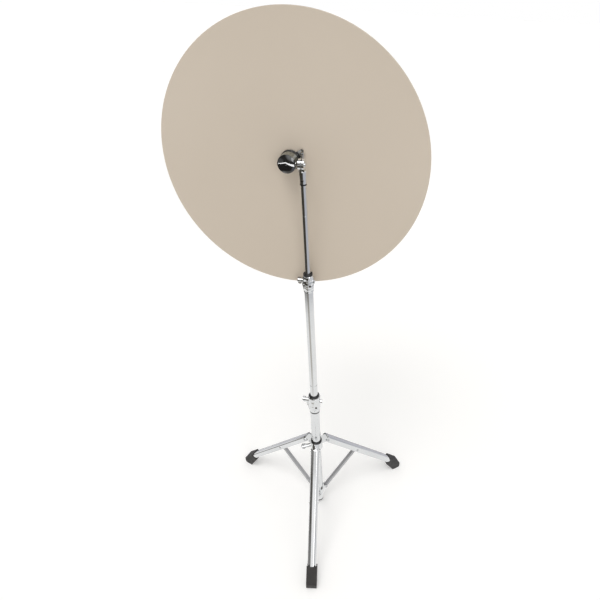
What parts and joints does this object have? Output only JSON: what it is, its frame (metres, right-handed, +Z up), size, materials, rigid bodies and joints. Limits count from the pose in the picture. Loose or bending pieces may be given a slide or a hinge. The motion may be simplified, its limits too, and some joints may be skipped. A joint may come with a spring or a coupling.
{
  "type": "microphone isolation shield",
  "caption": "Round flat acoustic shield on a ratchet tilter, held by a telescopic pole with wing bolts and a folding tripod base.",
  "frame": {"origin": "centre of the lower face of the base tube's end plug, on the pole's axis, 8 mm above the floor", "axes": "+Z up along the pole; the shield's front looks along -Y and a little up; the tilt axis lies along X"},
  "size_m": [0.565, 0.4702, 1.3862],
  "materials": {
    "shield_satin": "satin",
    "white_plastic": "satin",
    "pad_rubber": "matt",
    "chrome": "polished",
    "ring_rubber": "matt",
    "knob_barrel": "satin",
    "knob_gloss": "gloss",
    "black_nylon": "satin",
    "dark_steel": "satin",
    "foot_rubber": "matt"
  },
  "bodies": {
    "base": {"base_tube": "chrome", "base_clamp": "chrome", "base_clamp_ring": "black_nylon", "base_clamp_bush": "black_nylon", "base_clamp_screw": "dark_steel", "hub": "chrome", "hub_pins": "chrome", "tube_plug": "black_nylon"},
    "base_wing_bolt": {"base_clamp_wing": "chrome"},
    "collar": {"leg_collar": "chrome", "collar_bush": "black_nylon", "leg_pins": "chrome"},
    "collar_wing_bolt": {"collar_wing": "chrome"},
    "leg_front": {"leg_front": "chrome", "foot_front": "foot_rubber", "strut_pin_front": "chrome"},
    "strut_front": {"strut_front": "chrome"},
    "leg_right": {"leg_right": "chrome", "foot_right": "foot_rubber", "strut_pin_right": "chrome"},
    "strut_right": {"strut_right": "chrome"},
    "leg_left": {"leg_left": "chrome", "foot_left": "foot_rubber", "strut_pin_left": "chrome"},
    "strut_left": {"strut_left": "chrome"},
    "middle": {"middle_tube": "chrome", "upper_clamp": "chrome", "upper_clamp_bush": "black_nylon", "upper_clamp_screw": "dark_steel"},
    "upper_wing_bolt": {"upper_clamp_wing": "chrome"},
    "upper": {"upper_tube": "chrome"},
    "head": {"receiver": "chrome", "receiver_ring": "black_nylon", "receiver_screw": "dark_steel", "tilt_bolt": "chrome", "tilt_nut": "chrome"},
    "bracket": {"tilt_bracket": "chrome", "centre_stud": "chrome", "front_pad": "pad_rubber", "rear_pad": "pad_rubber", "rear_washer": "chrome", "lock_nut": "chrome"},
    "shield": {"shield_disc": "shield_satin", "disc_sleeve": "white_plastic"},
    "knob": {"knob_ring": "ring_rubber", "knob_body": "knob_barrel", "knob_cap": "knob_gloss"}
  },
  "joints": [
    {"name": "base_wing_turn", "type": "hinge", "parent": "base", "child": "base_wing_bolt", "pos_m": [-0.02, 0, 0.442], "axis": [1, 0, 0], "continuous": true},
    {"name": "collar_slide", "type": "slide", "parent": "base", "child": "collar", "axis": [0, 0, 1], "range_m": [0, 0.06]},
    {"name": "collar_wing_turn", "type": "hinge", "parent": "collar", "child": "collar_wing_bolt", "pos_m": [-0.02273, -0.01041, 0.261], "axis": [-0.9092, -0.4163, 0], "continuous": true},
    {"name": "leg_hinge_front", "type": "hinge", "parent": "collar", "child": "leg_front", "pos_m": [0.00534, -0.03155, 0.2705], "axis": [0.986, 0.1668, 0], "range_deg": [0, 22.3]},
    {"name": "strut_hinge_front", "type": "hinge", "parent": "base", "child": "strut_front", "pos_m": [0.00375, -0.02218, 0.05], "axis": [-0.986, -0.1668, 0], "range_deg": [0, 20.5]},
    {"name": "leg_hinge_right", "type": "hinge", "parent": "collar", "child": "leg_right", "pos_m": [0.02466, 0.0204, 0.2705], "axis": [-0.6374, 0.7705, 0], "range_deg": [0, 22.3]},
    {"name": "strut_hinge_right", "type": "hinge", "parent": "base", "child": "strut_right", "pos_m": [0.01734, 0.01434, 0.05], "axis": [0.6374, -0.7705, 0], "range_deg": [0, 20.5]},
    {"name": "leg_hinge_left", "type": "hinge", "parent": "collar", "child": "leg_left", "pos_m": [-0.02999, 0.01115, 0.2705], "axis": [-0.3486, -0.9373, 0], "range_deg": [0, 22.3]},
    {"name": "strut_hinge_left", "type": "hinge", "parent": "base", "child": "strut_left", "pos_m": [-0.02109, 0.00784, 0.05], "axis": [0.3486, 0.9373, 0], "range_deg": [0, 20.5]},
    {"name": "middle_slide", "type": "slide", "parent": "base", "child": "middle", "axis": [0, 0, 1], "range_m": [-0.12, 0.1]},
    {"name": "upper_wing_turn", "type": "hinge", "parent": "middle", "child": "upper_wing_bolt", "pos_m": [-0.02, 0, 0.834], "axis": [1, 0, 0], "continuous": true},
    {"name": "upper_slide", "type": "slide", "parent": "middle", "child": "upper", "axis": [0, 0, 1], "range_m": [-0.21, 0.1]},
    {"name": "head_turn", "type": "hinge", "parent": "upper", "child": "head", "pos_m": [0, 0, 1.09], "axis": [0, 0, 1], "range_deg": [-90, 30]},
    {"name": "tilt", "type": "hinge", "parent": "head", "child": "bracket", "pos_m": [0, 0, 1.1155], "axis": [1, 0, 0], "range_deg": [0, 85]},
    {"name": "shield_turn", "type": "hinge", "parent": "bracket", "child": "shield", "pos_m": [-0.0385, 0.05533, 1.09813], "axis": [0, -0.991, 0.134], "continuous": true},
    {"name": "knob_turn", "type": "hinge", "parent": "bracket", "child": "knob", "pos_m": [-0.0385, 0.03849, 1.10041], "axis": [0, -0.991, 0.134], "continuous": true}
  ],
  "couplings": [
    {"joint": "leg_hinge_front", "follows": "collar_slide", "rad_per_m": 6.47},
    {"joint": "strut_hinge_front", "follows": "collar_slide", "rad_per_m": 5.93},
    {"joint": "leg_hinge_right", "follows": "collar_slide", "rad_per_m": 6.47},
    {"joint": "strut_hinge_right", "follows": "collar_slide", "rad_per_m": 5.93},
    {"joint": "leg_hinge_left", "follows": "collar_slide", "rad_per_m": 6.47},
    {"joint": "strut_hinge_left", "follows": "collar_slide", "rad_per_m": 5.93}
  ]
}
